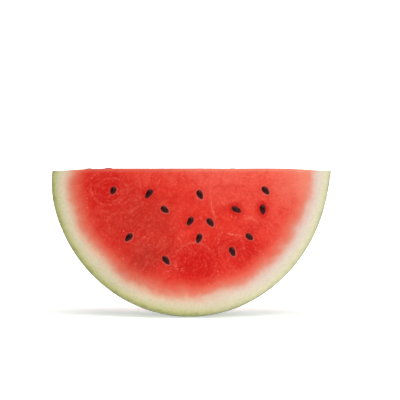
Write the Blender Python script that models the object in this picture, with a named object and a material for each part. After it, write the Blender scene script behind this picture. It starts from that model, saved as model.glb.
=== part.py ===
"""Thick half-round slice of a watermelon, standing on its rind.

Run with: blender --background --python part.py
Metres, +Z up. The front cut face looks along -Y, the level cut face is the top,
and the origin is the middle of the box that holds the slice, at its underside.
"""

import math
import random

import bmesh
import bpy
from mathutils import Matrix, Vector

# The melon that the slice was cut from.
HALF_WIDTH = 0.1331          # from the melon's axis to the skin at either side
HALF_HEIGHT = 0.1392         # from the melon's axis down to the skin
MELON_HALF_LENGTH = 0.162    # from the middle of the melon to its end, along Y
ROUNDNESS = 1.975            # 2 is a true ellipse, less is slimmer at the shoulders
RIND_AT_SIDES = 0.0175
RIND_AT_BOTTOM = 0.0185

# The cuts.
THICKNESS = 0.070            # between the two upright cuts, at the rind
FLARE = 0.0025               # how far the top leans to +X, as the cut missed the middle
FLARE_DEPTH = 0.0165         # how fast that lean fades below the top
CROWN = 0.0016               # how far the flesh swells out of its upright cuts
CROWN_REACH = 0.036          # depth under the skin where that swelling is full
TOP_CROWN = 0.0021           # how far it swells out of the level cut
TOP_REACH = 0.050            # and the depth where that is full
FOOT_FLAT = 0.0010           # how much the underside is pressed flat
BOX_SHIFT = 0.00215          # sets the middle of the box at X = 0

# Facets.
STEPS_ROUND = 60             # round the half circle of skin
RINGS = 10                   # from the melon's axis to the skin
FLESH_RINGS = 8              # how many of those rings lie in the flesh
ROWS_ALONG = 10              # between the two upright cuts
WELD = 0.00001

# A seed is a flat drop, blunt at one end.
SEED_LENGTH = 0.0095
SEED_WIDTH = 0.0056
SEED_THICKNESS = 0.0028
SEED_STANDS_OUT = 0.0008     # how far its back rises out of the flesh
SEED_TAPER = 0.28            # how much narrower it gets towards its point
SEED_SIDES = 8
SEED_RINGS = 6

# Seeds of the front face: millimetres across, millimetres below the top edge of the rind,
# degrees that the point is turned from +X, and the length in millimetres.
FRONT_SEEDS = [
    (-72.9, 18.6, -115, 7.8),
    (-39.7, 21.6, -129, 10.4),
    (8.1, 22.4, -64, 9.3),
    (69.4, 18.6, -47, 9.3),
    (-24.7, 36.4, -38, 8.7),
    (-1.0, 47.3, -119, 9.3),
    (17.8, 48.3, -51, 9.3),
    (42.1, 36.4, -27, 9.8),
    (66.6, 36.3, -87, 9.9),
    (-58.4, 62.3, -133, 9.3),
    (7.2, 63.2, -106, 9.4),
    (54.3, 61.8, -40, 8.2),
    (38.4, 75.6, -64, 9.4),
    (-23.4, 83.7, -48, 9.9),
]

# Seeds of the back face lie on arcs round the melon's axis:
# share of the skin's distance, and how many.
BACK_ARCS = [(0.24, 3), (0.45, 5), (0.66, 6)]
BACK_SEED = 7                # start of the random draw for the back face

# Seeds of the top face: millimetres across, millimetres from the middle
# towards the back, and degrees that the point is turned from +X.
TOP_SEEDS = [
    (-95.9, -27.5, 170),
    (-77.6, -29.0, 195),
    (-85.0, 8.0, 150),
    (-52.0, -6.0, 205),
    (-36.5, 20.0, 130),
    (39.0, -12.0, 20),
    (61.0, 16.0, -35),
    (84.0, -5.0, 10),
]


def clear_scene():
    for thing in list(bpy.data.objects):
        bpy.data.objects.remove(thing, do_unlink=True)


def make_material(name, colour, roughness):
    material = bpy.data.materials.new(name)
    material.use_nodes = True
    shader = material.node_tree.nodes["Principled BSDF"]
    shader.inputs["Base Color"].default_value = (*colour, 1.0)
    shader.inputs["Roughness"].default_value = roughness
    shader.inputs["Metallic"].default_value = 0.0
    return material


def smooth(share):
    """Goes from 0 to 1 with no kink at either end."""
    share = min(max(share, 0.0), 1.0)
    return share * share * (3 - 2 * share)


def skin_distance(angle, y):
    """From the melon's axis to the skin, at an angle below +X, in the section at y."""
    across = abs(math.cos(angle)) / HALF_WIDTH
    down = abs(math.sin(angle)) / HALF_HEIGHT
    section = math.sqrt(1 - (y / MELON_HALF_LENGTH) ** 2)
    return section * (across**ROUNDNESS + down**ROUNDNESS) ** (-1 / ROUNDNESS)


def rind_thickness(angle):
    return RIND_AT_SIDES + (RIND_AT_BOTTOM - RIND_AT_SIDES) * math.sin(angle) ** 2


def settle(angle, distance, y):
    """The finished place of a point that lies so far from the melon's axis."""
    depth = skin_distance(angle, y) - distance
    swelling = CROWN * smooth(depth / CROWN_REACH)
    drop = distance * math.sin(angle)
    lean = FLARE * math.exp(-drop / FLARE_DEPTH) - BOX_SHIFT
    lift = TOP_CROWN * smooth(depth / TOP_REACH) * (1 - smooth(drop / CROWN_REACH))
    return Vector((
        distance * math.cos(angle) + lean,
        y + swelling * y / (THICKNESS / 2),
        HALF_HEIGHT - FOOT_FLAT - drop + lift,
    ))


def move_into_shape(vertex):
    """Turns a point of the plain half disc, one unit in radius, into one of the slice."""
    angle = math.atan2(-vertex.co.z, vertex.co.x)
    share = math.hypot(vertex.co.x, vertex.co.z)
    y = vertex.co.y
    skin = skin_distance(angle, y)
    rind = rind_thickness(angle)
    flesh_share = FLESH_RINGS / RINGS
    if share <= flesh_share:
        distance = (skin - rind) * share / flesh_share
    else:
        distance = skin - rind * (1 - share) / (1 - flesh_share)
    vertex.co = settle(angle, distance, y)


def shade_slots(mesh_data, rind_faces, skin_faces):
    for face in mesh_data.faces:
        face.smooth = True
        if face in skin_faces:
            face.material_index = 2
        elif face in rind_faces:
            face.material_index = 1


def build_body(materials):
    """Flesh, rind and skin: a flat sheet turned half round the melon's axis."""
    sheet = bmesh.new()
    bmesh.ops.create_grid(sheet, x_segments=RINGS, y_segments=ROWS_ALONG, size=0.5)
    for vertex in sheet.verts:
        vertex.co = Vector((vertex.co.x + 0.5, vertex.co.y * THICKNESS, 0.0))
    whole = sheet.verts[:] + sheet.edges[:] + sheet.faces[:]
    bmesh.ops.spin(sheet, geom=whole, cent=(0, 0, 0), axis=(0, 1, 0), angle=math.pi, steps=STEPS_ROUND)
    bmesh.ops.remove_doubles(sheet, verts=sheet.verts, dist=WELD)

    shares = {face: [math.hypot(v.co.x, v.co.z) for v in face.verts] for face in sheet.faces}
    skin_faces = {face for face, share in shares.items() if min(share) > 1 - WELD}
    rind_faces = {face for face, share in shares.items() if min(share) > FLESH_RINGS / RINGS - WELD}
    shade_slots(sheet, rind_faces, skin_faces)
    for vertex in sheet.verts:
        move_into_shape(vertex)

    press_foot_flat(sheet)
    bmesh.ops.recalc_face_normals(sheet, faces=sheet.faces)
    mesh = bpy.data.meshes.new("watermelon_slice")
    sheet.to_mesh(mesh)
    sheet.free()
    mesh.set_sharp_from_angle(angle=math.radians(40))
    for material in materials:
        mesh.materials.append(material)
    body = bpy.data.objects.new("watermelon_slice", mesh)
    bpy.context.collection.objects.link(body)
    return body


def press_foot_flat(sheet):
    """Cuts off what lies below the ground and closes the flat spot with one face."""
    everything = sheet.verts[:] + sheet.edges[:] + sheet.faces[:]
    cut = bmesh.ops.bisect_plane(
        sheet, geom=everything, plane_co=(0, 0, 0), plane_no=(0, 0, 1), clear_inner=True, dist=WELD)
    rim = [piece for piece in cut["geom_cut"] if isinstance(piece, bmesh.types.BMEdge)]
    flat = bmesh.ops.contextual_create(sheet, geom=rim)["faces"]
    for face in flat:
        face.material_index = 2


def build_seed(name, place, length, material, collection):
    """A flat drop: its long axis is X, its point is at +X, and it is flat along Z."""
    drop = bmesh.new()
    bmesh.ops.create_uvsphere(drop, u_segments=SEED_SIDES, v_segments=SEED_RINGS, radius=1.0)
    bmesh.ops.rotate(drop, verts=drop.verts, matrix=Matrix.Rotation(math.pi / 2, 3, "Y"))
    for vertex in drop.verts:
        narrowing = 1 - SEED_TAPER * smooth((vertex.co.x + 1) / 2)
        vertex.co.x *= length / 2
        vertex.co.y *= SEED_WIDTH / 2 * narrowing / (1 - SEED_TAPER / 3)
        vertex.co.z *= SEED_THICKNESS / 2
    bmesh.ops.transform(drop, matrix=place, verts=drop.verts)
    for face in drop.faces:
        face.smooth = True
    mesh = bpy.data.meshes.new(name)
    drop.to_mesh(mesh)
    drop.free()
    mesh.materials.append(material)
    seed = bpy.data.objects.new(name, mesh)
    collection.objects.link(seed)


def seed_frame(place, outward, turn, upright):
    """A seed lying at a place of a face, its point turned by an angle on that face.

    Outward is away from the flesh, and upright is the face's own way up.
    """
    across = upright.cross(outward)
    along = across * math.cos(turn) + upright * math.sin(turn)
    sideways = outward.cross(along)
    sunk = place - outward * (SEED_THICKNESS / 2 - SEED_STANDS_OUT)
    return Matrix((
        (along.x, sideways.x, outward.x, sunk.x),
        (along.y, sideways.y, outward.y, sunk.y),
        (along.z, sideways.z, outward.z, sunk.z),
        (0, 0, 0, 1),
    ))


def point_on_cut(x, drop, y):
    """The place on a swollen cut face that lies so far across and below the top."""
    along = x + BOX_SHIFT - FLARE * math.exp(-drop / FLARE_DEPTH)
    return settle(math.atan2(drop, along), math.hypot(drop, along), y)


def front_seed_frames():
    for x, drop, turn, length in FRONT_SEEDS:
        place = point_on_cut(x / 1000, drop / 1000, -THICKNESS / 2)
        place.z = HALF_HEIGHT - FOOT_FLAT - drop / 1000
        frame = seed_frame(place, Vector((0, -1, 0)), math.radians(turn), Vector((0, 0, 1)))
        yield frame, length / 1000


def back_seed_frames():
    draw = random.Random(BACK_SEED)
    for share, count in BACK_ARCS:
        for index in range(count):
            angle = math.pi * (index + 0.5 + draw.uniform(-0.18, 0.18)) / count
            reach = share * skin_distance(angle, THICKNESS / 2) * draw.uniform(0.92, 1.08)
            place = settle(angle, reach, THICKNESS / 2)
            turn = angle + math.pi + draw.uniform(-0.6, 0.6)
            frame = seed_frame(place, Vector((0, 1, 0)), turn, Vector((0, 0, 1)))
            yield frame, SEED_LENGTH * draw.uniform(0.92, 1.08)


def top_seed_frames():
    for x, y, turn in TOP_SEEDS:
        place = point_on_cut(x / 1000, 0.0, y / 1000)
        frame = seed_frame(place, Vector((0, 0, 1)), math.radians(turn), Vector((0, 1, 0)))
        yield frame, SEED_LENGTH


def fuse(body, collection):
    """Joins the seeds to the flesh as one solid and drops the loose copies."""
    joint = body.modifiers.new("seeds", "BOOLEAN")
    joint.operation = "UNION"
    joint.operand_type = "COLLECTION"
    joint.collection = collection
    joint.solver = "EXACT"
    joint.material_mode = "TRANSFER"
    bpy.context.view_layer.objects.active = body
    with bpy.context.temp_override(object=body, active_object=body):
        bpy.ops.object.modifier_apply(modifier=joint.name)
    for seed in list(collection.objects):
        bpy.data.objects.remove(seed, do_unlink=True)
    bpy.data.collections.remove(collection)


def main():
    clear_scene()
    flesh = make_material("flesh", (0.78, 0.06, 0.04), 0.35)
    rind = make_material("rind", (0.72, 0.70, 0.48), 0.5)
    skin = make_material("skin", (0.06, 0.13, 0.03), 0.4)
    black = make_material("seed", (0.02, 0.01, 0.008), 0.25)
    body = build_body([flesh, rind, skin, black])

    seeds = bpy.data.collections.new("seeds")
    bpy.context.scene.collection.children.link(seeds)
    frames = [*front_seed_frames(), *back_seed_frames(), *top_seed_frames()]
    for number, (place, length) in enumerate(frames):
        build_seed(f"seed_{number:02d}", place, length, black, seeds)
    fuse(body, seeds)


main()
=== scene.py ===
import math
import random

import bmesh
import bpy
from mathutils import Matrix, Vector, noise


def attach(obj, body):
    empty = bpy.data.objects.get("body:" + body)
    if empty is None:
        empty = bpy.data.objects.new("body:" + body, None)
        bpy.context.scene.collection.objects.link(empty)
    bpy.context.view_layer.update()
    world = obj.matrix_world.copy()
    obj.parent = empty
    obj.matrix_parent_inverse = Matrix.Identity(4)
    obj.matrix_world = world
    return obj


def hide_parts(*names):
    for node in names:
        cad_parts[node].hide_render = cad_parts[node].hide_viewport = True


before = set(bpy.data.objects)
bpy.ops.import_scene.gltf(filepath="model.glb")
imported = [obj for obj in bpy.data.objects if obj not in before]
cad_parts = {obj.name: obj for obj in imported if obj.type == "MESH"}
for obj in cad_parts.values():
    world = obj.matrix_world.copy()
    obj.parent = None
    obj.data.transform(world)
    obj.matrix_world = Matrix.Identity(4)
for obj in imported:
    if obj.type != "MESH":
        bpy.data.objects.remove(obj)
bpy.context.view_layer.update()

# Thick half-round slice of a watermelon, standing on its rind.
# Metres, +Z up. The front cut face looks along -Y and the level cut is the top.

mm = 0.001


# The melon and its cuts, the same as in the solids

melon = {
    "halfWidth": 0.1331,         # from the melon's axis to the skin at either side
    "halfHeight": 0.1392,        # from the axis down to the skin
    "halfLength": 0.162,         # from the middle of the melon to its end, along Y
    "roundness": 1.975,          # 2 is a true ellipse, less is slimmer at the shoulders
    "rindAtSides": 0.0175,
    "rindAtBottom": 0.0185,
    "thickness": 0.070,          # between the two upright cuts, at the rind
    "flare": 0.0025,             # how far the top leans to +X
    "flareDepth": 0.0165,        # how fast that lean fades below the top
    "crown": 0.0016,             # how far the flesh swells out of its upright cuts
    "crownReach": 0.036,         # depth under the skin where that swelling is full
    "topCrown": 0.0021,          # how far it swells out of the level cut
    "topReach": 0.050,           # and the depth where that is full
    "footFlat": 0.0010,          # how much the underside is pressed flat
    "boxShift": 0.00215,         # sets the middle of the box at X = 0
}
topLevel = melon["halfHeight"] - melon["footFlat"]    # height of the cut top at the rind
frontY = -melon["thickness"] / 2
backY = melon["thickness"] / 2


def ease(share):
    share = min(max(share, 0.0), 1.0)
    return share * share * (3 - 2 * share)


def skinDistance(angle, y):    # from the axis to the skin, at an angle below +X
    across = abs(math.cos(angle)) / melon["halfWidth"]
    down = abs(math.sin(angle)) / melon["halfHeight"]
    section = math.sqrt(1 - (y / melon["halfLength"]) ** 2)
    power = melon["roundness"]
    return section * (across**power + down**power) ** (-1 / power)


def rindThickness(angle):
    extra = melon["rindAtBottom"] - melon["rindAtSides"]
    return melon["rindAtSides"] + extra * math.sin(angle) ** 2


def leanAt(drop):
    return melon["flare"] * math.exp(-drop / melon["flareDepth"]) - melon["boxShift"]


def settle(angle, distance, y):    # the finished place of a point so far from the axis
    depth = skinDistance(angle, y) - distance
    swelling = melon["crown"] * ease(depth / melon["crownReach"])
    drop = distance * math.sin(angle)
    lift = melon["topCrown"] * ease(depth / melon["topReach"]) * (1 - ease(drop / melon["crownReach"]))
    return Vector((
        distance * math.cos(angle) + leanAt(drop),
        y + swelling * y / backY,
        topLevel - drop + lift,
    ))


def polarOf(point):    # angle and distance of a finished point, seen along the axis
    drop = max(topLevel - point.z, 0.0)
    along = point.x - leanAt(drop)
    return math.atan2(drop, along), math.hypot(drop, along)


# Where the seeds lie: the same places and the same random draw as in the solids

seedSize = {
    "length": 0.0095,
    "width": 0.0056,
    "thickness": 0.0028,
    "standsOut": 0.0008,         # how far the back rises out of the flesh
    "taper": 0.28,               # how much narrower it gets towards its point
}
frontSeedList = [    # mm across, mm below the top, degrees of the point from +X, mm long, red halo
    (-72.9, 18.6, -115, 7.8, 0.5),
    (-39.7, 21.6, -129, 10.4, 0.9),
    (8.1, 22.4, -64, 9.3, 0.1),
    (69.4, 18.6, -47, 9.3, 0.1),
    (-24.7, 36.4, -38, 8.7, 0.1),
    (-1.0, 47.3, -119, 9.3, 0.6),
    (17.8, 48.3, -51, 9.3, 0.3),
    (42.1, 36.4, -27, 9.8, 0.9),
    (66.6, 36.3, -87, 9.9, 1.0),
    (-58.4, 62.3, -133, 9.3, 0.3),
    (7.2, 63.2, -106, 9.4, 0.3),
    (54.3, 61.8, -40, 8.2, 0.5),
    (38.4, 75.6, -64, 9.4, 0.2),
    (-23.4, 83.7, -48, 9.9, 0.2),
]
backArcs = {"shares": [(0.24, 3), (0.45, 5), (0.66, 6)], "draw": 7}
topSeedList = [      # mm across, mm from the middle to the back, degrees of the point from +X
    (-95.9, -27.5, 170),
    (-77.6, -29.0, 195),
    (-85.0, 8.0, 150),
    (-52.0, -6.0, 205),
    (-36.5, 20.0, 130),
    (39.0, -12.0, 20),
    (61.0, 16.0, -35),
    (84.0, -5.0, 10),
]


def seedFrame(place, outward, turn, upright):
    across = upright.cross(outward)
    along = across * math.cos(turn) + upright * math.sin(turn)
    sideways = outward.cross(along)
    sunk = place - outward * (seedSize["thickness"] / 2 - seedSize["standsOut"])
    rows = [(along[i], sideways[i], outward[i], sunk[i]) for i in range(3)]
    return Matrix((*rows, (0, 0, 0, 1)))


def placeOnCut(x, drop, y):
    along = x - leanAt(drop)
    return settle(math.atan2(drop, along), math.hypot(drop, along), y)


def frontSeedPlaces():
    for x, drop, turn, length, halo in frontSeedList:
        place = placeOnCut(x * mm, drop * mm, frontY)
        place.z = topLevel - drop * mm
        where = seedFrame(place, Vector((0, -1, 0)), math.radians(turn), Vector((0, 0, 1)))
        yield {"where": where, "length": length * mm, "halo": halo}


def backSeedPlaces():
    draw = random.Random(backArcs["draw"])
    for share, count in backArcs["shares"]:
        for index in range(count):
            angle = math.pi * (index + 0.5 + draw.uniform(-0.18, 0.18)) / count
            reach = share * skinDistance(angle, backY) * draw.uniform(0.92, 1.08)
            turn = angle + math.pi + draw.uniform(-0.6, 0.6)
            place = settle(angle, reach, backY)
            where = seedFrame(place, Vector((0, 1, 0)), turn, Vector((0, 0, 1)))
            length = seedSize["length"] * draw.uniform(0.92, 1.08)
            yield {"where": where, "length": length, "halo": 0.2 + 0.6 * (index % 2)}


def topSeedPlaces():
    for x, y, turn in topSeedList:
        place = placeOnCut(x * mm, 0.0, y * mm)
        where = seedFrame(place, Vector((0, 0, 1)), math.radians(turn), Vector((0, 1, 0)))
        yield {"where": where, "length": seedSize["length"], "halo": 0.4}


frontSeeds = list(frontSeedPlaces())
backSeeds = list(backSeedPlaces())
topSeeds = list(topSeedPlaces())
for seed in frontSeeds + backSeeds + topSeeds:
    seed["inverse"] = seed["where"].inverted()
print("seeds placed:", len(frontSeeds), len(backSeeds), len(topSeeds))


# Small helpers for shader trees

def addNode(tree, kind, inputs=None, **settings):
    made = tree.nodes.new(kind)
    for name, value in settings.items():
        setattr(made, name, value)
    for name, value in (inputs or {}).items():
        if isinstance(value, bpy.types.NodeSocket):
            tree.links.new(value, made.inputs[name])
        else:
            made.inputs[name].default_value = value
    return made


def mathOf(tree, operation, a, b=0.0, clamp=False):
    return addNode(tree, "ShaderNodeMath", {0: a, 1: b}, operation=operation, use_clamp=clamp).outputs[0]


def vectorOf(tree, operation, a, b=(0, 0, 0)):
    return addNode(tree, "ShaderNodeVectorMath", {0: a, 1: b}, operation=operation).outputs[0]


def scaled(tree, vector, factor):
    return addNode(tree, "ShaderNodeVectorMath", {0: vector, "Scale": factor}, operation="SCALE").outputs[0]


def spread(tree, value, low, high, toLow=0.0, toHigh=1.0, curve="SMOOTHSTEP"):
    made = addNode(tree, "ShaderNodeMapRange", {
        "Value": value, "From Min": low, "From Max": high, "To Min": toLow, "To Max": toHigh,
    }, interpolation_type=curve)
    return made.outputs["Result"]


def blend(tree, factor, a, b, kind="MIX"):
    made = addNode(tree, "ShaderNodeMix", data_type="RGBA", blend_type=kind)
    for index, value in ((0, factor), (6, a), (7, b)):
        if isinstance(value, bpy.types.NodeSocket):
            tree.links.new(value, made.inputs[index])
        else:
            made.inputs[index].default_value = value
    return made.outputs[2]


def ramp(tree, value, stops):
    made = addNode(tree, "ShaderNodeValToRGB", {"Fac": value})
    made.color_ramp.interpolation = "LINEAR"
    while len(made.color_ramp.elements) < len(stops):
        made.color_ramp.elements.new(1.0)
    for element, (place, colour) in zip(made.color_ramp.elements, stops):
        element.position = place
        element.color = colour
    return made.outputs["Color"]


def grainOf(tree, place, size, detail=3.0, rough=0.5):
    return addNode(tree, "ShaderNodeTexNoise", {
        "Vector": place, "Scale": 1 / size, "Detail": detail, "Roughness": rough,
    })


def speckOf(tree, place, size):    # distance to the nearest of many scattered points, and a colour for each
    return addNode(tree, "ShaderNodeTexVoronoi", {
        "Vector": place, "Scale": 1 / size, "Randomness": 1.0,
    }, feature="F1").outputs


def partsOf(tree, vector):
    return addNode(tree, "ShaderNodeSeparateXYZ", {"Vector": vector}).outputs


def startMaterial(name):
    material = bpy.data.materials.new(name)
    material.use_nodes = True
    tree = material.node_tree
    return material, tree, tree.nodes["Principled BSDF"]


def attributeOf(tree, name):
    made = addNode(tree, "ShaderNodeAttribute", attribute_name=name, attribute_type="GEOMETRY")
    return made.outputs["Fac"]


def sRgb(red, green, blue):    # a colour as a paint chart gives it, 0 to 255
    def linear(value):
        value /= 255
        return value / 12.92 if value <= 0.04045 else ((value + 0.055) / 1.055) ** 2.4
    return (linear(red), linear(green), linear(blue), 1.0)


# Node groups that the cut faces use several times over

def startGroup(name, inputs, outputs):
    group = bpy.data.node_groups.new(name, "ShaderNodeTree")
    for label, kind in inputs:
        group.interface.new_socket(label, in_out="INPUT", socket_type=kind)
    for label in outputs:
        group.interface.new_socket(label, in_out="OUTPUT", socket_type="NodeSocketFloat")
    return group, group.nodes.new("NodeGroupInput").outputs, group.nodes.new("NodeGroupOutput").inputs


def lengthOf(tree, vector):
    return addNode(tree, "ShaderNodeVectorMath", {0: vector}, operation="LENGTH").outputs["Value"]


def productOf(tree, a, b):    # how far two vectors point the same way
    return addNode(tree, "ShaderNodeVectorMath", {0: a, 1: b}, operation="DOT_PRODUCT").outputs["Value"]


def makeRingGroup():    # faint pale arcs round a pocket of seeds, and its deep red core
    group, start, end = startGroup(
        "growthRings",
        [("Place", "NodeSocketVector"), ("Centre", "NodeSocketVector"),
         ("Reach", "NodeSocketFloat"), ("Spacing", "NodeSocketFloat")],
        ["Lines", "Core"])
    offset = vectorOf(group, "SUBTRACT", start["Place"], start["Centre"])
    level = vectorOf(group, "MULTIPLY", offset, (1, 0.05, 1.12))
    away = lengthOf(group, level)
    heading = vectorOf(group, "NORMALIZE", level)
    turns = mathOf(group, "DIVIDE", away, start["Spacing"])
    rounds = addNode(group, "ShaderNodeCombineXYZ", {"Y": turns}).outputs[0]
    path = vectorOf(group, "ADD", vectorOf(group, "MULTIPLY", heading, (1.0, 0, 1.0)), rounds)
    path = vectorOf(group, "ADD", path, scaled(group, start["Centre"], 40.0))
    thin = spread(group, grainOf(group, path, 1.0, 2.0).outputs["Fac"], 0.48, 0.74)
    share = mathOf(group, "DIVIDE", away, start["Reach"])
    fade = spread(group, share, 0.60, 1.05, 1, 0)
    group.links.new(mathOf(group, "MULTIPLY", thin, fade), end["Lines"])
    group.links.new(spread(group, share, 0.25, 1.0, 1, 0), end["Core"])
    return group


def makePatchGroup():    # a soft-edged patch
    group, start, end = startGroup(
        "softPatch",
        [("Place", "NodeSocketVector"), ("Centre", "NodeSocketVector"), ("Size", "NodeSocketVector")],
        ["Mask"])
    offset = vectorOf(group, "SUBTRACT", start["Place"], start["Centre"])
    away = lengthOf(group, vectorOf(group, "DIVIDE", offset, start["Size"]))
    group.links.new(spread(group, away, 0.15, 1.0, 1, 0), end["Mask"])
    return group


def makeStrandGroup():    # one pale strand of fibre between two points
    group, start, end = startGroup(
        "paleStrand",
        [("Place", "NodeSocketVector"), ("Start", "NodeSocketVector"),
         ("End", "NodeSocketVector"), ("Width", "NodeSocketFloat")],
        ["Mask"])
    run = vectorOf(group, "SUBTRACT", start["End"], start["Start"])
    offset = vectorOf(group, "SUBTRACT", start["Place"], start["Start"])
    along = productOf(group, offset, run)
    whole = productOf(group, run, run)
    nearest = scaled(group, run, mathOf(group, "DIVIDE", along, whole, True))
    aside = vectorOf(group, "MULTIPLY", vectorOf(group, "SUBTRACT", offset, nearest), (1, 0.01, 1))
    thin = spread(group, mathOf(group, "DIVIDE", lengthOf(group, aside), start["Width"]), 0.0, 1.0, 1, 0)
    broken = spread(group, grainOf(group, start["Place"], 2.4 * mm, 3.0, 0.6).outputs["Fac"], 0.38, 0.62)
    group.links.new(mathOf(group, "MULTIPLY", thin, broken), end["Mask"])
    return group


def makeArcGroup():    # part of a pale ring, clearest on one side
    group, start, end = startGroup(
        "paleArc",
        [("Place", "NodeSocketVector"), ("Centre", "NodeSocketVector"), ("Side", "NodeSocketVector"),
         ("Radius", "NodeSocketFloat"), ("Width", "NodeSocketFloat")],
        ["Mask"])
    offset = vectorOf(group, "SUBTRACT", start["Place"], start["Centre"])
    offset = vectorOf(group, "MULTIPLY", offset, (1, 0.05, 1.1))
    aside = mathOf(group, "ABSOLUTE", mathOf(group, "SUBTRACT", lengthOf(group, offset), start["Radius"]))
    thin = spread(group, mathOf(group, "DIVIDE", aside, start["Width"]), 0.0, 1.0, 1, 0)
    facing = productOf(group, vectorOf(group, "NORMALIZE", offset), start["Side"])
    clear = spread(group, facing, -0.1, 0.6)
    broken = spread(group, grainOf(group, start["Place"], 3.2 * mm, 3.0, 0.6).outputs["Fac"], 0.36, 0.60)
    group.links.new(mathOf(group, "MULTIPLY", mathOf(group, "MULTIPLY", thin, clear), broken), end["Mask"])
    return group


groups = {
    "rings": makeRingGroup(),
    "patch": makePatchGroup(),
    "strand": makeStrandGroup(),
    "arc": makeArcGroup(),
}


# The cut faces: flesh, rind and the thin line of skin

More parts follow.
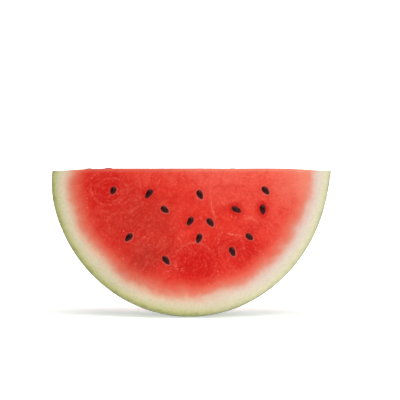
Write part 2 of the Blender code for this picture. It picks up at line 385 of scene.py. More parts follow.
cut = {
    "red": sRgb(220, 50, 36),
    "deepRed": sRgb(200, 16, 9),
    "darkRed": sRgb(176, 12, 8),
    "dullRed": sRgb(186, 39, 27),
    "brownRed": sRgb(182, 44, 31),
    "paleRed": sRgb(230, 81, 64),
    "salmon": sRgb(241, 101, 84),
    "peach": sRgb(238, 138, 114),
    "palePeach": sRgb(232, 178, 154),
    "fibre": sRgb(244, 122, 102),
    # pale of the single strands, and of the painted glints on the wet flesh
    "sparkle": sRgb(250, 158, 138),
    # pale rim round each seed: part membrane, part painted highlight of its wet lip
    "seedRimAndGlint": sRgb(184, 108, 100),
    "haloRed": sRgb(202, 14, 8),
    # painted highlight along the knife edges, where they catch the light
    "paleEdge": sRgb(232, 152, 126),
    # Swirls: mm across, mm below the top, mm reach, mm between arcs, how deep the core, how pale the arcs
    "swirls": [
        (-76.0, 19.5, 30.0, 2.3, 0.75, 0.13),
        (4.0, 87.0, 32.0, 2.2, 0.90, 0.06),
        (-3.0, 73.0, 11.0, 1.8, 0.20, 0.16),
        (57.0, 51.5, 13.0, 1.8, 0.30, 0.10),
        (48.0, 78.0, 30.0, 2.4, 0.40, 0.15),
        (-36.0, 64.0, 26.0, 2.6, 0.00, 0.15),
        (52.0, -14.0, 46.0, 2.6, 0.00, 0.22),
    ],
    "patches": [     # name of the colour, mm across, mm below the top, half width, half height, how strong
        ("paleRed", 96.0, 30.0, 74.0, 62.0, 1.0),
        ("dullRed", -56.0, 46.0, 62.0, 56.0, 1.0),
        ("brownRed", -42.0, 83.0, 48.0, 36.0, 1.0),
        ("deepRed", -84.0, 18.0, 40.0, 34.0, 0.8),
        ("deepRed", 5.0, 84.0, 42.0, 36.0, 0.85),
        ("deepRed", 52.0, 77.0, 44.0, 27.0, 0.9),
        ("deepRed", -62.0, 79.0, 9.0, 8.0, 0.6),
        ("deepRed", 27.0, 68.0, 26.0, 24.0, 0.8),
        ("dullRed", -30.0, 48.0, 26.0, 20.0, 0.6),
        ("salmon", 62.0, -4.0, 130.0, 30.0, 1.0),
        ("paleRed", -46.0, -2.0, 50.0, 18.0, 0.7),
        ("dullRed", -30.0, 72.0, 34.0, 22.0, 0.8),
        ("salmon", 4.0, -2.0, 62.0, 17.0, 0.55),
        ("salmon", 26.0, 12.0, 40.0, 32.0, 0.55),
        ("salmon", 52.0, 27.0, 40.0, 24.0, 0.35),
        ("deepRed", 79.0, 44.0, 20.0, 15.0, 0.22),
        ("darkRed", -29.0, 70.0, 20.0, 16.0, 0.16),
        ("haloRed", -43.0, 16.5, 9.0, 9.0, 0.8),
        ("haloRed", 38.0, 34.0, 13.0, 9.0, 0.8),
        ("haloRed", 62.0, 32.5, 13.0, 10.0, 0.8),
        ("haloRed", -5.5, 44.5, 9.0, 7.0, 0.5),
        ("haloRed", 17.0, 45.0, 7.0, 6.0, 0.3),
    ],
    "strands": [     # mm across and mm below the top at both ends, mm wide, how strong
        (33.0, 57.5, 50.0, 60.0, 1.6, 0.55),
        (50.0, 60.0, 58.6, 64.4, 1.3, 0.35),
        (18.5, 17.8, 21.3, 39.2, 1.3, 0.30),
        (21.3, 39.2, 27.0, 79.3, 1.5, 0.18),
        (8.0, 43.0, 13.5, 47.5, 1.2, 0.35),
        (44.0, 38.0, 58.0, 45.0, 1.4, 0.20),
        (-14.0, 62.0, 0.0, 74.0, 1.2, 0.20),
    ],
    # Arcs: mm across, mm below the top, mm to the arc, mm wide, the side it is on (+X, +Z), how strong
    "arcs": [
        (2.3, 84.2, 19.0, 2.3, (-0.6, 0.8), 0.24),
        (2.3, 86.0, 21.0, 2.0, (1.0, 0.2), 0.15),
        (-77.0, 18.0, 16.0, 2.1, (-0.5, -0.85), 0.26),
        (-75.0, 20.0, 10.5, 1.6, (0.8, -0.6), 0.18),
        (-74.0, 21.0, 15.0, 1.8, (0.3, 0.95), 0.18),
        (-70.0, 19.0, 24.0, 2.2, (0.7, -0.7), 0.16),
        (53.2, 52.4, 10.2, 1.8, (0.2, 1.0), 0.26),
        (38.0, 92.0, 30.0, 2.2, (0.75, -0.65), 0.15),
    ],
    "corners": [     # paler flesh at the top corners, listed as the patches are
        ("peach", 112.0, 2.0, 50.0, 48.0, 0.9),
        ("palePeach", 103.0, -2.0, 22.0, 9.0, 0.5),
    ],
    "paintedShades": [   # painted shade, darker on the lower left and along the bottom: mm across, mm below the top, half width, half height, how strong
        (-54.0, 95.0, 52.0, 32.0, 1.0),
        (8.0, 134.0, 96.0, 34.0, 0.62),
    ],
    # grey that the painted shade multiplies the colour by
    "paintedShadeTone": (0.88, 0.88, 0.90, 1.0),
    "rimGreen": sRgb(118, 130, 62),             # uneven green just under the skin
    "heart": (0.013, 0.0, topLevel + 0.004),    # the fibres fan out from here
    "bulges": [      # where the pale rind reaches deeper: mm across, mm below the top, mm round, mm deeper
        (-76.0, 89.0, 34.0, 1.1),
        (31.0, 112.0, 30.0, 1.6),
        (-24.0, 120.0, 22.0, -1.0),
        (-118.0, 36.0, 40.0, -0.8),
        (-114.0, 0.0, 16.0, 2.0),
        (-116.0, 20.0, 22.0, -2.2),
        (119.0, 24.0, 28.0, -2.2),
        (-66.0, 97.0, 30.0, -1.5),
        (80.0, 72.0, 24.0, -0.8),
        (54.0, 98.0, 22.0, -0.6),
        (-96.0, 57.0, 24.0, -1.3),
    ],
    "rindDepth": 0.034,          # depth where the flesh is fully red
    "leftRind": [    # share of that depth, and the colour there: lime, cream, peach, then red
        (0.00, sRgb(142, 146, 87)),
        (0.03, sRgb(161, 163, 107)),
        (0.10, sRgb(189, 188, 134)),
        (0.21, sRgb(207, 200, 165)),
        (0.32, sRgb(217, 199, 172)),
        (0.43, sRgb(220, 178, 151)),
        (0.56, sRgb(218, 131, 107)),
        (0.66, sRgb(219, 103, 82)),
        (0.81, sRgb(218, 84, 64)),
    ],
    "rightRind": [
        (0.00, sRgb(184, 186, 138)),
        (0.03, sRgb(203, 203, 160)),
        (0.11, sRgb(216, 210, 179)),
        (0.28, sRgb(217, 203, 188)),
        (0.42, sRgb(218, 181, 167)),
        (0.55, sRgb(217, 134, 113)),
        (0.66, sRgb(222, 107, 86)),
        (0.81, sRgb(225, 90, 70)),
    ],
}


def addGroup(tree, group, **values):
    made = addNode(tree, "ShaderNodeGroup", node_tree=group)
    for name, value in values.items():
        if isinstance(value, bpy.types.NodeSocket):
            tree.links.new(value, made.inputs[name])
        else:
            made.inputs[name].default_value = value
    return made.outputs


def inFlesh(x, drop):    # mm across and mm below the top, to a place in the middle of the slab
    return (x * mm, 0, topLevel - drop * mm)


def patchAt(tree, place, x, drop, width, height, through):    # all in mm, through the slab as well
    size = (width * mm, through * mm, height * mm)
    return addGroup(tree, groups["patch"], Place=place, Centre=inFlesh(x, drop), Size=size)["Mask"]


grains = {
    "wanderSize": 22 * mm,
    "lineWander": 8 * mm,        # how far lines are bent aside
    "patchWander": 30 * mm,      # and patches
    "mottleSize": 15 * mm,
    "cloudSize": 7 * mm,
    "grainSize": 2.0 * mm,
    "cellSize": 1.8 * mm,
    "dotSize": 4.2 * mm,
    "blotchSize": 9 * mm,
    "fibresRound": 11.0,         # how fine the fibres are round the heart
    "fibresAlong": 26.0,         # how soon they change along themselves
    "fibresThrough": 60.0,       # and from one cut face to the other
}
layers = {           # how strongly each layer of colour is laid on
    "mottle": 0.40,
    "paleCloud": 0.28,
    "deepCloud": 0.32,
    "fibre": 0.18,
    "halo": 0.95,
    "blotch": 0.42,
    "grain": 0.20,
    # strength of the painted glints
    "sparkle": 0.40,
    # strength of the painted highlight along the knife edges
    "edge": 0.56,
}


def cutNoises(tree, place):    # the unevenness that all of a cut face's colours share
    wander = grainOf(tree, place, grains["wanderSize"], 2.0).outputs["Color"]
    wander = vectorOf(tree, "SUBTRACT", wander, (0.5, 0.5, 0.5))
    farBent = vectorOf(tree, "ADD", place, scaled(tree, wander, grains["patchWander"]))
    dots = speckOf(tree, place, grains["dotSize"])
    chosen = addNode(tree, "ShaderNodeSeparateColor", {"Color": dots["Color"]}).outputs["Red"]
    dotMask = spread(tree, dots["Distance"], 0.06, 0.22, 1, 0)
    return {
        "bent": vectorOf(tree, "ADD", place, scaled(tree, wander, grains["lineWander"])),
        "farBent": farBent,
        "mottle": grainOf(tree, farBent, grains["mottleSize"], 5.0, 0.6).outputs["Fac"],
        "cloud": grainOf(tree, farBent, grains["cloudSize"], 3.0, 0.5).outputs["Fac"],
        "grain": grainOf(tree, place, grains["grainSize"], 4.0, 0.65).outputs["Fac"],
        "cells": speckOf(tree, place, grains["cellSize"])["Distance"],
        # scattered dots for the painted glints
        "sparkle": mathOf(tree, "MULTIPLY", dotMask, spread(tree, chosen, 0.65, 1.0)),
    }


def fleshZones(tree, noises):    # broad patches and clouds of redder and paler flesh
    red = cut["red"]
    for name, x, drop, width, height, strength in cut["patches"]:
        mask = patchAt(tree, noises["farBent"], x, drop, width, height, 80)
        red = blend(tree, mathOf(tree, "MULTIPLY", mask, strength), red, cut[name])
    mottled = spread(tree, noises["mottle"], 0.50, 0.72, 0, layers["mottle"])
    paler = spread(tree, noises["cloud"], 0.48, 0.72, 0, layers["paleCloud"])
    deeper = spread(tree, noises["cloud"], 0.30, 0.50, layers["deepCloud"], 0)
    red = blend(tree, mottled, red, cut["deepRed"])
    red = blend(tree, paler, red, cut["paleRed"])
    return blend(tree, deeper, red, cut["deepRed"])


def paintSwirls(tree, bent, red):    # the deep cores, and the mask of the arcs round them
    lines = 0.0
    for x, drop, reach, spacing, depth, arcs in cut["swirls"]:
        swirl = addGroup(
            tree, groups["rings"], Place=bent, Centre=inFlesh(x, drop), Reach=reach * mm,
            Spacing=spacing * mm)
        red = blend(tree, mathOf(tree, "MULTIPLY", swirl["Core"], depth), red, cut["deepRed"])
        lines = mathOf(tree, "MAXIMUM", lines, mathOf(tree, "MULTIPLY", swirl["Lines"], arcs))
    return red, lines


def fibreMask(tree, bent):    # fine fibres that fan out from the heart
    fan = vectorOf(tree, "SUBTRACT", bent, cut["heart"])
    parts = partsOf(tree, fan)
    turn = mathOf(tree, "ARCTAN2", parts["X"], mathOf(tree, "MULTIPLY", parts["Z"], -1.0))
    course = addNode(tree, "ShaderNodeCombineXYZ", {
        "X": mathOf(tree, "MULTIPLY", turn, grains["fibresRound"]),
        "Y": mathOf(tree, "MULTIPLY", lengthOf(tree, fan), grains["fibresAlong"]),
        "Z": mathOf(tree, "MULTIPLY", parts["Y"], grains["fibresThrough"]),
    }).outputs[0]
    return spread(tree, grainOf(tree, course, 1 / 1.6, 4.0, 0.6).outputs["Fac"], 0.54, 0.76)


def paintLines(tree, bent, red):    # single pale strands and arcs
    for x, drop, farX, farDrop, width, strength in cut["strands"]:
        mask = addGroup(
            tree, groups["strand"], Place=bent, Start=inFlesh(x, drop), End=inFlesh(farX, farDrop),
            Width=width * mm)["Mask"]
        red = blend(tree, mathOf(tree, "MULTIPLY", mask, strength), red, cut["sparkle"])
    for x, drop, radius, width, side, strength in cut["arcs"]:
        mask = addGroup(
            tree, groups["arc"], Place=bent, Centre=inFlesh(x, drop), Side=(side[0], 0, side[1]),
            Radius=radius * mm, Width=width * mm)["Mask"]
        red = blend(tree, mathOf(tree, "MULTIPLY", mask, strength), red, cut["fibre"])
    return red


def rindShare(tree, place, noises):    # depth under the skin, where 1 is fully red flesh
    deep = mathOf(tree, "DIVIDE", attributeOf(tree, "underSkin"), cut["rindDepth"])
    for x, drop, size, deeper in cut["bulges"]:
        mask = patchAt(tree, place, x, drop, size, size, 120)
        mask = mathOf(tree, "MULTIPLY", mask, spread(tree, deep, 0.15, 0.45))
        share = mathOf(tree, "MULTIPLY", mask, deeper * mm / cut["rindDepth"])
        deep = mathOf(tree, "SUBTRACT", deep, share)
    waver = spread(tree, noises["mottle"], 0.3, 0.7, -0.045, 0.045)
    waver = mathOf(tree, "ADD", waver, spread(tree, noises["grain"], 0.3, 0.7, -0.014, 0.014))
    waver = mathOf(tree, "MULTIPLY", waver, spread(tree, deep, 0.10, 0.42))
    return mathOf(tree, "ADD", deep, waver)


def paintRind(tree, place, noises, across, deep, colour):    # green blotches, pale corners, and painted shade on the lower left and along the bottom
    blotch = grainOf(tree, place, grains["blotchSize"], 3.0, 0.55).outputs["Fac"]
    blotch = spread(tree, blotch, 0.47, 0.64)
    blotch = mathOf(tree, "MULTIPLY", blotch, spread(tree, deep, 0.03, 0.13, layers["blotch"], 0))
    blotch = mathOf(tree, "MULTIPLY", blotch, spread(tree, across, -0.020, 0.060, 1, 0.25))
    colour = blend(tree, blotch, colour, cut["rimGreen"])
    for name, x, drop, width, height, strength in cut["corners"]:
        corner = patchAt(tree, noises["farBent"], x, drop, width, height, 100)
        corner = mathOf(tree, "MULTIPLY", corner, spread(tree, deep, 0.30, 0.74, 0, strength))
        colour = blend(tree, corner, colour, cut[name])
    # painted shade: the colour is darkened on the lower left and along the bottom
    for x, drop, width, height, strength in cut["paintedShades"]:
        dull = patchAt(tree, noises["farBent"], x, drop, width, height, 100)
        colour = blend(tree, mathOf(tree, "MULTIPLY", dull, strength), colour, cut["paintedShadeTone"], "MULTIPLY")
    return colour


# fine grain of the flesh, and painted glints: scattered pale dots
def paintGrain(tree, noises, deep, lightGrain, colour):
    grain = noises["grain"]
    colour = blend(tree, spread(tree, grain, 0.50, 0.74, 0, layers["grain"]), colour, lightGrain)
    colour = scaled(tree, colour, spread(tree, grain, 0.28, 0.72, 0.91, 1.07, "LINEAR"))
    # painted glints on the wet flesh
    inFleshOnly = spread(tree, deep, 0.5, 0.9, 0, layers["sparkle"])
    sparkle = mathOf(tree, "MULTIPLY", noises["sparkle"], inFleshOnly)
    return blend(tree, sparkle, colour, cut["sparkle"])


def paintRimsAndEdgeHighlight(tree, across, deep, colour):    # pale rims round seeds, part membrane and part painted highlight; and a painted highlight along the knife edges, stronger on the right
    # seed rims: part membrane, part painted highlight
    colour = blend(tree, attributeOf(tree, "seedRimAndGlint"), colour, cut["seedRimAndGlint"])
    # painted highlight along the knife edges, stronger on the right
    edge = spread(tree, attributeOf(tree, "edgeGap"), 0.2 * mm, 4.5 * mm, layers["edge"], 0)
    edge = mathOf(tree, "MULTIPLY", edge, spread(tree, across, -0.060, 0.040, 0.55, 1))
    edge = mathOf(tree, "MULTIPLY", edge, spread(tree, deep, 0.30, 0.55))
    return blend(tree, edge, colour, cut["paleEdge"])


def cutBump(tree, noises, lines, fibre, deep):
    height = mathOf(tree, "MULTIPLY", noises["grain"], 0.5)
    height = mathOf(tree, "ADD", height, mathOf(tree, "MULTIPLY", noises["cells"], 0.30))
    height = mathOf(tree, "ADD", height, mathOf(tree, "MULTIPLY", lines, 0.5))
    height = mathOf(tree, "ADD", height, mathOf(tree, "MULTIPLY", fibre, 0.12))
    height = mathOf(tree, "MULTIPLY", height, spread(tree, deep, 0.42, 0.72, 0.2, 1.0))
    return addNode(tree, "ShaderNodeBump", {"Height": height, "Strength": 0.5, "Distance": 0.6 * mm})


def makeCutMaterial():
    material, tree, shader = startMaterial("fleshAndRind")
    place = addNode(tree, "ShaderNodeTexCoord").outputs["Object"]
    noises = cutNoises(tree, place)
    across = partsOf(tree, noises["farBent"])["X"]
    deep = rindShare(tree, place, noises)
    inside = spread(tree, deep, 0.66, 1.0)
    fibre = mathOf(tree, "MULTIPLY", fibreMask(tree, noises["bent"]), inside)

    red = fleshZones(tree, noises)
    red, lines = paintSwirls(tree, noises["bent"], red)
    red = blend(tree, mathOf(tree, "MULTIPLY", fibre, layers["fibre"]), red, cut["fibre"])
    red = blend(tree, lines, red, cut["fibre"])
    red = paintLines(tree, noises["bent"], red)
    halo = mathOf(tree, "MULTIPLY", attributeOf(tree, "seedHalo"), layers["halo"])
    red = blend(tree, halo, red, cut["haloRed"])

    leftSide = ramp(tree, deep, cut["leftRind"])
    rightSide = ramp(tree, deep, cut["rightRind"])
    pale = blend(tree, spread(tree, across, -0.020, 0.080), leftSide, rightSide)
    colour = blend(tree, inside, pale, red)
    colour = paintRind(tree, place, noises, across, deep, colour)
    colour = paintGrain(tree, noises, deep, blend(tree, inside, pale, cut["fibre"]), colour)
    colour = paintRimsAndEdgeHighlight(tree, across, deep, colour)
    tree.links.new(colour, shader.inputs["Base Color"])
    tree.links.new(spread(tree, noises["grain"], 0.3, 0.7, 0.32, 0.55), shader.inputs["Roughness"])
    tree.links.new(cutBump(tree, noises, lines, fibre, deep).outputs["Normal"], shader.inputs["Normal"])
    shader.inputs["Specular IOR Level"].default_value = 0.1
    shader.inputs["Subsurface Weight"].default_value = 0.10
    shader.inputs["Subsurface Radius"].default_value = (1.0, 0.3, 0.2)
    shader.inputs["Subsurface Scale"].default_value = 0.003
    return material


# The skin: dark green with broken, mottled pale stripes along the melon

skin = {
    "dark": sRgb(52, 76, 28),
    "middle": sRgb(84, 106, 44),
    "pale": sRgb(168, 172, 92),
    "bloom": sRgb(132, 146, 118),
    "stripeEvery": 30 * mm,      # from one pale stripe to the next, round the skin
    "jag": 8 * mm,               # how ragged the edges of a stripe are
    "drift": 9 * mm,             # how far a stripe strays
    "paleEdge": 7 * mm,          # the skin is paler this near the front cut
}


def stripeMask(tree, around, flat, longWay, jagged):
    drifting = grainOf(tree, vectorOf(tree, "MULTIPLY", flat, (0.4, 1, 1)), 40 * mm, 2.0).outputs["Fac"]
    jag = spread(tree, jagged, 0.25, 0.75, -skin["jag"], skin["jag"], "LINEAR")
    drift = spread(tree, drifting, 0.3, 0.7, -skin["drift"], skin["drift"], "LINEAR")
    shifted = mathOf(tree, "ADD", mathOf(tree, "ADD", around, jag), drift)
    turns = mathOf(tree, "MULTIPLY", shifted, 2 * math.pi / skin["stripeEvery"])
    band = spread(tree, mathOf(tree, "SINE", turns), 0.28, 0.86)
    broken = spread(tree, grainOf(tree, longWay, 13 * mm, 5.0, 0.6).outputs["Fac"], 0.40, 0.56)
    return mathOf(tree, "MULTIPLY", band, broken)


def makeSkinMaterial():
    material, tree, shader = startMaterial("melonSkin")
    place = addNode(tree, "ShaderNodeTexCoord").outputs["Object"]
    parts = partsOf(tree, place)
    around = attributeOf(tree, "aroundSkin")
    flat = addNode(tree, "ShaderNodeCombineXYZ", {"X": around, "Y": parts["Y"]}).outputs[0]
    longWay = vectorOf(tree, "MULTIPLY", flat, (1, 0.45, 1))
    jagged = grainOf(tree, longWay, 9 * mm, 6.0, 0.68).outputs["Fac"]
    speckle = spread(tree, grainOf(tree, flat, 2.2 * mm, 4.0, 0.7).outputs["Fac"], 0.36, 0.62)
    cloud = spread(tree, grainOf(tree, longWay, 16 * mm, 5.0, 0.6).outputs["Fac"], 0.38, 0.66)

    green = blend(tree, cloud, skin["dark"], skin["middle"])
    green = blend(tree, mathOf(tree, "MULTIPLY", speckle, 0.35), green, skin["middle"])
    stripe = stripeMask(tree, around, flat, longWay, jagged)
    stripe = mathOf(tree, "MULTIPLY", stripe, spread(tree, speckle, 0, 1, 0.35, 0.95))
    green = blend(tree, stripe, green, skin["pale"])
    dust = spread(tree, grainOf(tree, flat, 33 * mm, 3.0).outputs["Fac"], 0.5, 0.75, 0, 0.22)
    green = blend(tree, dust, green, skin["bloom"])
    nearCut = spread(tree, parts["Y"], frontY + 1 * mm, frontY + skin["paleEdge"], 0.6, 0)
    nearCut = mathOf(tree, "MULTIPLY", nearCut, spread(tree, parts["X"], -0.03, 0.05))
    green = blend(tree, nearCut, green, skin["pale"])
    tree.links.new(green, shader.inputs["Base Color"])
    tree.links.new(spread(tree, cloud, 0, 1, 0.34, 0.46), shader.inputs["Roughness"])

    height = mathOf(tree, "MULTIPLY", jagged, 0.5)
    height = mathOf(tree, "ADD", height, mathOf(tree, "MULTIPLY", speckle, 0.2))
    bump = addNode(tree, "ShaderNodeBump", {"Height": height, "Strength": 0.25, "Distance": 0.3 * mm})
    tree.links.new(bump.outputs["Normal"], shader.inputs["Normal"])
    return material


# The seeds: near black, browner towards the edge

seedLook = {
    "black": sRgb(46, 5, 3),
    "brown": sRgb(68, 11, 6),
    "margin": sRgb(136, 36, 27),
}


def makeSeedMaterial():
    material, tree, shader = startMaterial("blackSeed")
    place = addNode(tree, "ShaderNodeTexCoord").outputs["Object"]
    edge = attributeOf(tree, "towardsEdge")
    patch = grainOf(tree, place, 1.6 * mm, 3.0, 0.6).outputs["Fac"]
    brown = mathOf(tree, "ADD", edge, spread(tree, patch, 0.3, 0.7, -0.25, 0.25))
    colour = blend(tree, spread(tree, brown, 0.55, 1.1), seedLook["black"], seedLook["brown"])
    colour = blend(tree, spread(tree, edge, 0.74, 0.97, 0, 0.75), colour, seedLook["margin"])
    tree.links.new(colour, shader.inputs["Base Color"])
    tree.links.new(spread(tree, patch, 0.3, 0.7, 0.17, 0.30), shader.inputs["Roughness"])
    shader.inputs["Specular IOR Level"].default_value = 0.16
    bump = addNode(tree, "ShaderNodeBump", {"Height": patch, "Strength": 0.25, "Distance": 0.1 * mm})
    tree.links.new(bump.outputs["Normal"], shader.inputs["Normal"])
    return material


# The slice itself: a block of fine cells pressed into a half-round slab

block = {
    "across": 200,               # cells from corner to corner of a cut face
    "down": 100,                 # cells from the top edge to the underside
    "along": 42,                 # cells between the two upright cuts
    "nearSeed": 2.6 * mm,        # cells this near a seed are cut finer
    "finer": 2,                  # cuts in each of those cells
    "edgeRound": 0.6 * mm,       # how much a knife edge has softened
    "edgeSteps": 3,
}
nearly = 0.0001                  # slack when asking whether a point is on a side of the plain block
sides = {"front": 1, "back": 2, "top": 4, "skin": 8}    # added up for a point on several
relief = {
    "wave": 0.22 * mm,           # unevenness of the knife's cut
    "waveSize": 21 * mm,
    "pock": 0.16 * mm,           # small hollows in the flesh
    "pockSize": 5 * mm,
    "pocket": 0.75 * mm,         # depth of the pocket that a seed lies in
    "lip": 0.16 * mm,            # raised lip round the pocket
    "skinWave": 0.25 * mm,
    "skinWaveSize": 30 * mm,
}


def squareToHalfDisc(u, v):    # u from -1 to 1 along the top, v from 0 at the top to 1
    along = u * math.sqrt(1 - v * v / 2)
    down = v * math.sqrt(1 - u * u / 2)
    return math.atan2(down, along), math.hypot(along, down)


def placeOfCell(point):    # a point of the plain block to one of the slice
    angle, share = squareToHalfDisc(2 * point.x, 0.5 - point.y)
    y = (point.z - 0.5) * melon["thickness"]
    return settle(angle, share * skinDistance(angle, y), y)


def gapToSeed(point, seed):    # from the seed's outline, less than 0 inside it
    local = seed["inverse"] @ point
    if abs(local.z) > 3 * mm:
        return 1.0
    halfLength = seed["length"] / 2
    lengthways = local.x / halfLength
    sideways = local.y / (seedSize["width"] / 2 * seedNarrowing(lengthways))
    out = math.hypot(lengthways, sideways)
    return math.hypot(local.x, local.y) * (1 - 1 / max(out, 0.001))


def seedNarrowing(lengthways):
    taper = seedSize["taper"]
    return (1 - taper * ease((lengthways + 1) / 2)) / (1 - taper / 3)


def nearestSeed(point, seeds):
    best = (1.0, None)
    for seed in seeds:
        centre = seed["where"].translation
        if (point - centre).length_squared < (12 * mm) ** 2:
            best = min(best, (gapToSeed(point, seed), seed), key=lambda pair: pair[0])
    return best


def cutRelief(point, seeds):    # how far a point of a cut face stands out of the smooth face
    size = relief["waveSize"]
    out = relief["wave"] * noise.noise(point / size)
    pock = noise.noise(point / relief["pockSize"] + Vector((7, 3, 1)))
    out -= relief["pock"] * ease((pock - 0.15) / 0.5)
    angle, distance = polarOf(point)
    depth = skinDistance(angle, point.y) - distance
    out *= ease(depth / rindThickness(angle))
    gap = nearestSeed(point, seeds)[0]
    out -= relief["pocket"] * (1 - ease((gap + 0.2 * mm) / (0.5 * mm)))
    out += relief["lip"] * ease((gap + 0.1 * mm) / (0.6 * mm)) * (1 - ease((gap - 0.5 * mm) / (1.6 * mm)))
    return out


def buildBlock():    # a plain block, 1 each way
    bm = bmesh.new()
    bmesh.ops.create_grid(bm, x_segments=block["across"], y_segments=block["down"], size=0.5)
    pushed = bmesh.ops.extrude_face_region(bm, geom=bm.faces[:])["geom"]
    bmesh.ops.translate(bm, vec=(0, 0, 1), verts=[v for v in pushed if isinstance(v, bmesh.types.BMVert)])
    walls = [e for e in bm.edges if abs(e.verts[0].co.z - e.verts[1].co.z) > 0.5]
    bmesh.ops.subdivide_edges(bm, edges=walls, cuts=block["along"] - 1, use_grid_fill=True)
    return bm


def onTop(v):
    return v.co.y > 0.5 - nearly


def onSkin(v):
    return v.co.y < nearly - 0.5 or abs(v.co.x) > 0.5 - nearly


def markSides(bm):    # the layer keeps which sides a vertex is on; skin faces get the second material
    layer = bm.verts.layers.int.get("side") or bm.verts.layers.int.new("side")
    for v in bm.verts:
        v[layer] = 0
        if v.co.z < nearly:
            v[layer] += sides["front"]
        if v.co.z > 1 - nearly:
            v[layer] += sides["back"]
        if onTop(v):
            v[layer] += sides["top"]
        if onSkin(v):
            v[layer] += sides["skin"]
    for f in bm.faces:
        isSkin = all(onSkin(v) for v in f.verts) and not all(onTop(v) for v in f.verts)
        f.material_index = 1 if isSkin else 0
    return layer


def cellsNearSeeds(bm):
    allSeeds = frontSeeds + backSeeds + topSeeds
    near = set()
    for f in bm.faces:
        if f.material_index == 0:
            middle = placeOfCell(f.calc_center_median())
            if nearestSeed(middle, allSeeds)[0] < block["nearSeed"]:
                near.add(f)
    return near


def shapeSlice(bm, layer):    # presses the block into the slice and gives each side its relief
    for v in bm.verts:
        v.co = placeOfCell(v.co)
    places = {v: v.co.copy() for v in bm.verts}
    for v, place in places.items():
        if v[layer] & sides["front"]:
            v.co.y -= cutRelief(place, frontSeeds)
        if v[layer] & sides["back"]:
            v.co.y += cutRelief(place, backSeeds)
        if v[layer] & sides["top"]:
            v.co.z += cutRelief(place, topSeeds)
        if v[layer] & sides["skin"]:
            inward = Vector((-v.co.x, 0, topLevel - v.co.z)).normalized()
            wave = 0.5 + 0.5 * noise.noise(place / relief["skinWaveSize"])
            v.co += inward * relief["skinWave"] * wave


def roundEdges(bm, layer):
    def isSharp(edge):
        shared = edge.verts[0][layer] & edge.verts[1][layer]
        return sum(1 for flag in sides.values() if shared & flag) > 1

    rounded = bmesh.ops.bevel(
        bm, geom=[e for e in bm.edges if isSharp(e)], offset=block["edgeRound"], offset_type="OFFSET",
        segments=block["edgeSteps"], profile=0.5, affect="EDGES", material=-1, clamp_overlap=True)["faces"]
    for f in rounded:
        f.material_index = 0


def buildSlice():
    bm = buildBlock()
    markSides(bm)
    near = cellsNearSeeds(bm)
    edges = {e for f in near for e in f.edges}
    bmesh.ops.subdivide_edges(bm, edges=list(edges), cuts=block["finer"], use_grid_fill=True)
    layer = markSides(bm)
    print("cells near seeds:", len(near), "faces in all:", len(bm.faces))
    shapeSlice(bm, layer)
    roundEdges(bm, layer)
    for v in bm.verts:
        v.co.z = max(v.co.z, 0.0)
    bmesh.ops.recalc_face_normals(bm, faces=bm.faces)
    for f in bm.faces:
        f.smooth = True
    mesh = bpy.data.meshes.new("watermelonSlice")
    bm.to_mesh(mesh)
    bm.free()
    return mesh


# Values that the cut material reads at each point of the slice

nearSeed = {
    "haloWidth": 6.4 * mm,       # how far the deeper red reaches
    "rimFrom": 0.5 * mm,         # the pale rim starts to fade here
    "rimWidth": 1.3 * mm,
    "rimLeast": 0.16,            # strength of the rim on its weak side
    "rimMost": 0.64,
    # the rim's painted highlight is strongest on this side
    "glintSide": Vector((0.85, 0, -0.53)),
    "haloHides": 0.8,            # how much of the rim a full halo hides
}


def haloAndRim(point, gap, seed):    # how red the flesh is near a seed, and how pale its rim: part membrane, part painted highlight strongest on the lit side
    if seed is None:
        return 0.0, 0.0
    halo = seed["halo"] * (1 - ease(gap / nearSeed["haloWidth"]))
    offset = (point - seed["where"].translation).normalized()
    lit = 0.5 + 0.5 * offset.dot(nearSeed["glintSide"])
    rim = 1 - ease((gap - nearSeed["rimFrom"]) / nearSeed["rimWidth"])
    rim *= 1 - nearSeed["haloHides"] * seed["halo"]
    rim *= nearSeed["rimLeast"] + (nearSeed["rimMost"] - nearSeed["rimLeast"]) * ease(lit)
    return halo, rim


def gapToEdge(point, reach, depth):    # to the nearer knife edge between the top and an upright cut
    topHere = settle(0.0, max(reach - depth, 0.0), 0.0).z
    belowTop = max(topHere - point.z, 0.0)
    return math.hypot(belowTop, max(backY - abs(point.y), 0.0))


def writeAttributes(mesh):
    values = {"underSkin": [], "seedRimAndGlint": [], "seedHalo": [], "edgeGap": [], "aroundSkin": []}
    allSeeds = frontSeeds + backSeeds + topSeeds
    for v in mesh.vertices:
        angle, distance = polarOf(v.co)
        reach = skinDistance(angle, v.co.y)
        depth = max(reach - distance, 0.0)
        halo, rim = haloAndRim(v.co, *nearestSeed(v.co, allSeeds))
        values["underSkin"].append(depth * melon["rindAtSides"] / rindThickness(angle))
        values["seedRimAndGlint"].append(rim)
        values["seedHalo"].append(halo)
        values["edgeGap"].append(gapToEdge(v.co, reach, depth))
        values["aroundSkin"].append(angle * melon["halfHeight"])
    for name, numbers in values.items():
        mesh.attributes.new(name, "FLOAT", "POINT").data.foreach_set("value", numbers)
    mesh.update()


cutMaterial = makeCutMaterial()
skinMaterial = makeSkinMaterial()
seedMaterial = makeSeedMaterial()
print("materials made")

sliceMesh = buildSlice()
writeAttributes(sliceMesh)
sliceMesh.materials.append(cutMaterial)
sliceMesh.materials.append(skinMaterial)
slicePiece = bpy.data.objects.new("watermelonSlice", sliceMesh)
bpy.context.scene.collection.objects.link(slicePiece)
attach(slicePiece, "root")
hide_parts("watermelon_slice")
print("slice built:", len(sliceMesh.polygons), "faces")


# Seeds: flat drops with a soft margin, one piece for each cut face

seedShape = {
    "round": 28,                 # cells round a seed
    "long": 22,                  # cells from end to end
    "hook": 0.10,                # how far the point bends aside, as a share of the width
    "margin": 0.07,              # thickened margin
}


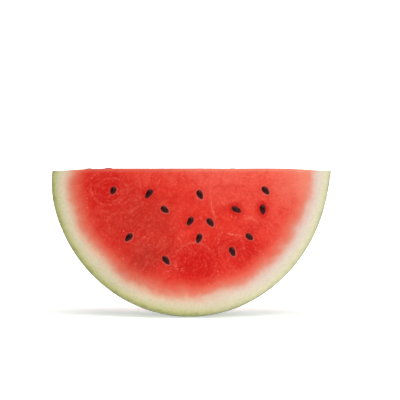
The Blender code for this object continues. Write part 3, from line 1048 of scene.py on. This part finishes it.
def addSeed(bm, edgeLayer, seed, draw):
    verts = bmesh.ops.create_uvsphere(
        bm, u_segments=seedShape["round"], v_segments=seedShape["long"], radius=1.0)["verts"]
    bmesh.ops.rotate(bm, verts=verts, matrix=Matrix.Rotation(math.pi / 2, 3, "Y"))
    hook = seedShape["hook"] * draw.uniform(-1.5, 1.5)
    plump = draw.uniform(0.94, 1.06)
    for v in verts:
        x, y, z = v.co
        outward = min(math.hypot(x, y), 1.0)
        v[edgeLayer] = outward
        y += hook * ease(x) * 2
        raised = ease((outward - 0.6) / 0.25) * (1 - ease((outward - 0.85) / 0.15))
        margin = 1 + seedShape["margin"] * raised
        v.co = Vector((
            x * seed["length"] / 2,
            y * seedSize["width"] / 2 * seedNarrowing(x) * plump,
            z * seedSize["thickness"] / 2 * margin,
        ))
    bmesh.ops.transform(bm, matrix=seed["where"], verts=verts)


def buildSeeds(name, seeds, start):
    draw = random.Random(start)
    bm = bmesh.new()
    edgeLayer = bm.verts.layers.float.new("towardsEdge")
    for seed in seeds:
        addSeed(bm, edgeLayer, seed, draw)
    bmesh.ops.recalc_face_normals(bm, faces=bm.faces)
    for f in bm.faces:
        f.smooth = True
    mesh = bpy.data.meshes.new(name)
    bm.to_mesh(mesh)
    bm.free()
    mesh.materials.append(seedMaterial)
    piece = bpy.data.objects.new(name, mesh)
    bpy.context.scene.collection.objects.link(piece)
    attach(piece, "root")


buildSeeds("frontSeeds", frontSeeds, 11)
buildSeeds("backSeeds", backSeeds, 12)
buildSeeds("topSeeds", topSeeds, 13)
print("seeds built")


# Floor: one pale sheet that turns up behind the slice

studio = {
    "floorHalf": 2.5,
    "floorTone": 0.9,
    "floorGlow": 0.435,          # painted light: the sheet glows, so shadows on it stay light
    "backGlow": 0.70,            # and more so behind the slice
    "glowFrom": 0.03,            # where it starts to rise
    "glowTo": 0.14,
    "bandGlow": 0.19,            # painted light added in a band under the slice's front edge, which washes out the shadow there
    "bandRises": (-0.10, -0.05),
    "bandFalls": (-0.03, 0.012),
    "sweepAt": 1.2,              # where the sheet starts to rise, behind the slice
    "sweepRadius": 0.5,
    "wallHeight": 0.5,
    "roomTone": 0.10,            # what the room sends onto the slice
}


def buildFloor():
    bm = bmesh.new()
    half = studio["floorHalf"]
    left = bm.verts.new((-half, -half, 0))
    right = bm.verts.new((half, -half, 0))
    edge = bm.edges.new((left, right))
    moved = bmesh.ops.extrude_edge_only(bm, edges=[edge])["geom"]
    verts = [v for v in moved if isinstance(v, bmesh.types.BMVert)]
    bmesh.ops.translate(bm, vec=(0, half + studio["sweepAt"], 0), verts=verts)
    edges = [e for e in moved if isinstance(e, bmesh.types.BMEdge)]
    turned = bmesh.ops.spin(
        bm, geom=edges + verts, cent=(0, studio["sweepAt"], studio["sweepRadius"]), axis=(1, 0, 0),
        angle=math.pi / 2, steps=24)["geom_last"]
    lastEdges = [e for e in turned if isinstance(e, bmesh.types.BMEdge)]
    risen = bmesh.ops.extrude_edge_only(bm, edges=lastEdges)["geom"]
    verts = [v for v in risen if isinstance(v, bmesh.types.BMVert)]
    bmesh.ops.translate(bm, vec=(0, 0, studio["wallHeight"]), verts=verts)
    for f in bm.faces:
        f.smooth = True
    mesh = bpy.data.meshes.new("studioFloor")
    bm.to_mesh(mesh)
    bm.free()
    material, tree, shader = startMaterial("paleFloor")
    tone = studio["floorTone"]
    shader.inputs["Base Color"].default_value = (tone, tone, tone, 1)
    shader.inputs["Roughness"].default_value = 0.7
    shader.inputs["Emission Color"].default_value = (1, 1, 1, 1)
    place = addNode(tree, "ShaderNodeTexCoord").outputs["Object"]
    depth = addNode(tree, "ShaderNodeSeparateXYZ", {"Vector": place}).outputs["Y"]
    # painted light: the glow, brighter behind the slice and in a band under its front edge
    glow = spread(
        tree, depth, studio["glowFrom"], studio["glowTo"], studio["floorGlow"], studio["backGlow"])
    band = spread(tree, depth, *studio["bandRises"], 0.0, studio["bandGlow"])
    band = mathOf(tree, "MULTIPLY", band, spread(tree, depth, *studio["bandFalls"], 1.0, 0.0))
    tree.links.new(mathOf(tree, "ADD", glow, band), shader.inputs["Emission Strength"])
    mesh.materials.append(material)
    floor = bpy.data.objects.new("studioFloor", mesh)
    bpy.context.scene.collection.objects.link(floor)


buildFloor()


# Light: a broad lamp overhead, another in front and to the right, and a small one from the right

lamps = {
    "highLamp": {"from": (0.05, -0.45, 1.0), "strength": 1.3, "softness": 56},
    "frontLamp": {"from": (0.25, -1.0, 0.62), "strength": 0.935, "softness": 36},
    "sideLamp": {"place": (0.40, -0.35, 0.25), "size": 0.22, "watts": 0.42},
}


def aimLamp(lamp, offset):
    lamp.rotation_euler = (-Vector(offset)).to_track_quat("-Z", "Y").to_euler()
    bpy.context.scene.collection.objects.link(lamp)


def addFarLamp(name):
    light = bpy.data.lights.new(name, "SUN")
    light.energy = lamps[name]["strength"]
    light.angle = math.radians(lamps[name]["softness"])
    aimLamp(bpy.data.objects.new(name, light), lamps[name]["from"])


def addSideLamp():
    light = bpy.data.lights.new("sideLamp", "AREA")
    light.shape = "SQUARE"
    light.size = lamps["sideLamp"]["size"]
    light.energy = lamps["sideLamp"]["watts"]
    lamp = bpy.data.objects.new("sideLamp", light)
    lamp.location = lamps["sideLamp"]["place"]
    aimLamp(lamp, lamp.location - Vector((0.05, 0, 0.08)))


def makeRoom():    # white to the camera, softer to the slice
    world = bpy.data.worlds.new("softRoom")
    world.use_nodes = True
    tree = world.node_tree
    dim = tree.nodes["Background"]
    dim.inputs["Color"].default_value = (1, 1, 1, 1)
    dim.inputs["Strength"].default_value = studio["roomTone"]
    white = addNode(tree, "ShaderNodeBackground", {"Color": (1, 1, 1, 1), "Strength": 1.0})
    seen = addNode(tree, "ShaderNodeLightPath").outputs["Is Camera Ray"]
    either = addNode(tree, "ShaderNodeMixShader", {
        0: seen, 1: dim.outputs["Background"], 2: white.outputs["Background"]})
    tree.links.new(either.outputs[0], tree.nodes["World Output"].inputs["Surface"])
    bpy.context.scene.world = world


addFarLamp("highLamp")
addFarLamp("frontLamp")
addSideLamp()
makeRoom()
bpy.context.scene.view_settings.view_transform = "Standard"


# Camera: level, in front of the upright cut, as far off as the picture's perspective asks

view = {
    "x": 0.0082,
    "z": 0.1108,
    "distance": 1.150,           # from the rind's front edge
    "lens": 110.8,               # on a sensor 36 mm wide
}
cameraData = bpy.data.cameras.new("camera")
cameraData.lens = view["lens"]
cameraData.sensor_width = 36
camera = bpy.data.objects.new("camera", cameraData)
camera.location = (view["x"], frontY - view["distance"], view["z"])
camera.rotation_euler = (math.pi / 2, 0, 0)
bpy.context.scene.collection.objects.link(camera)
bpy.context.scene.camera = camera
print("studio ready")
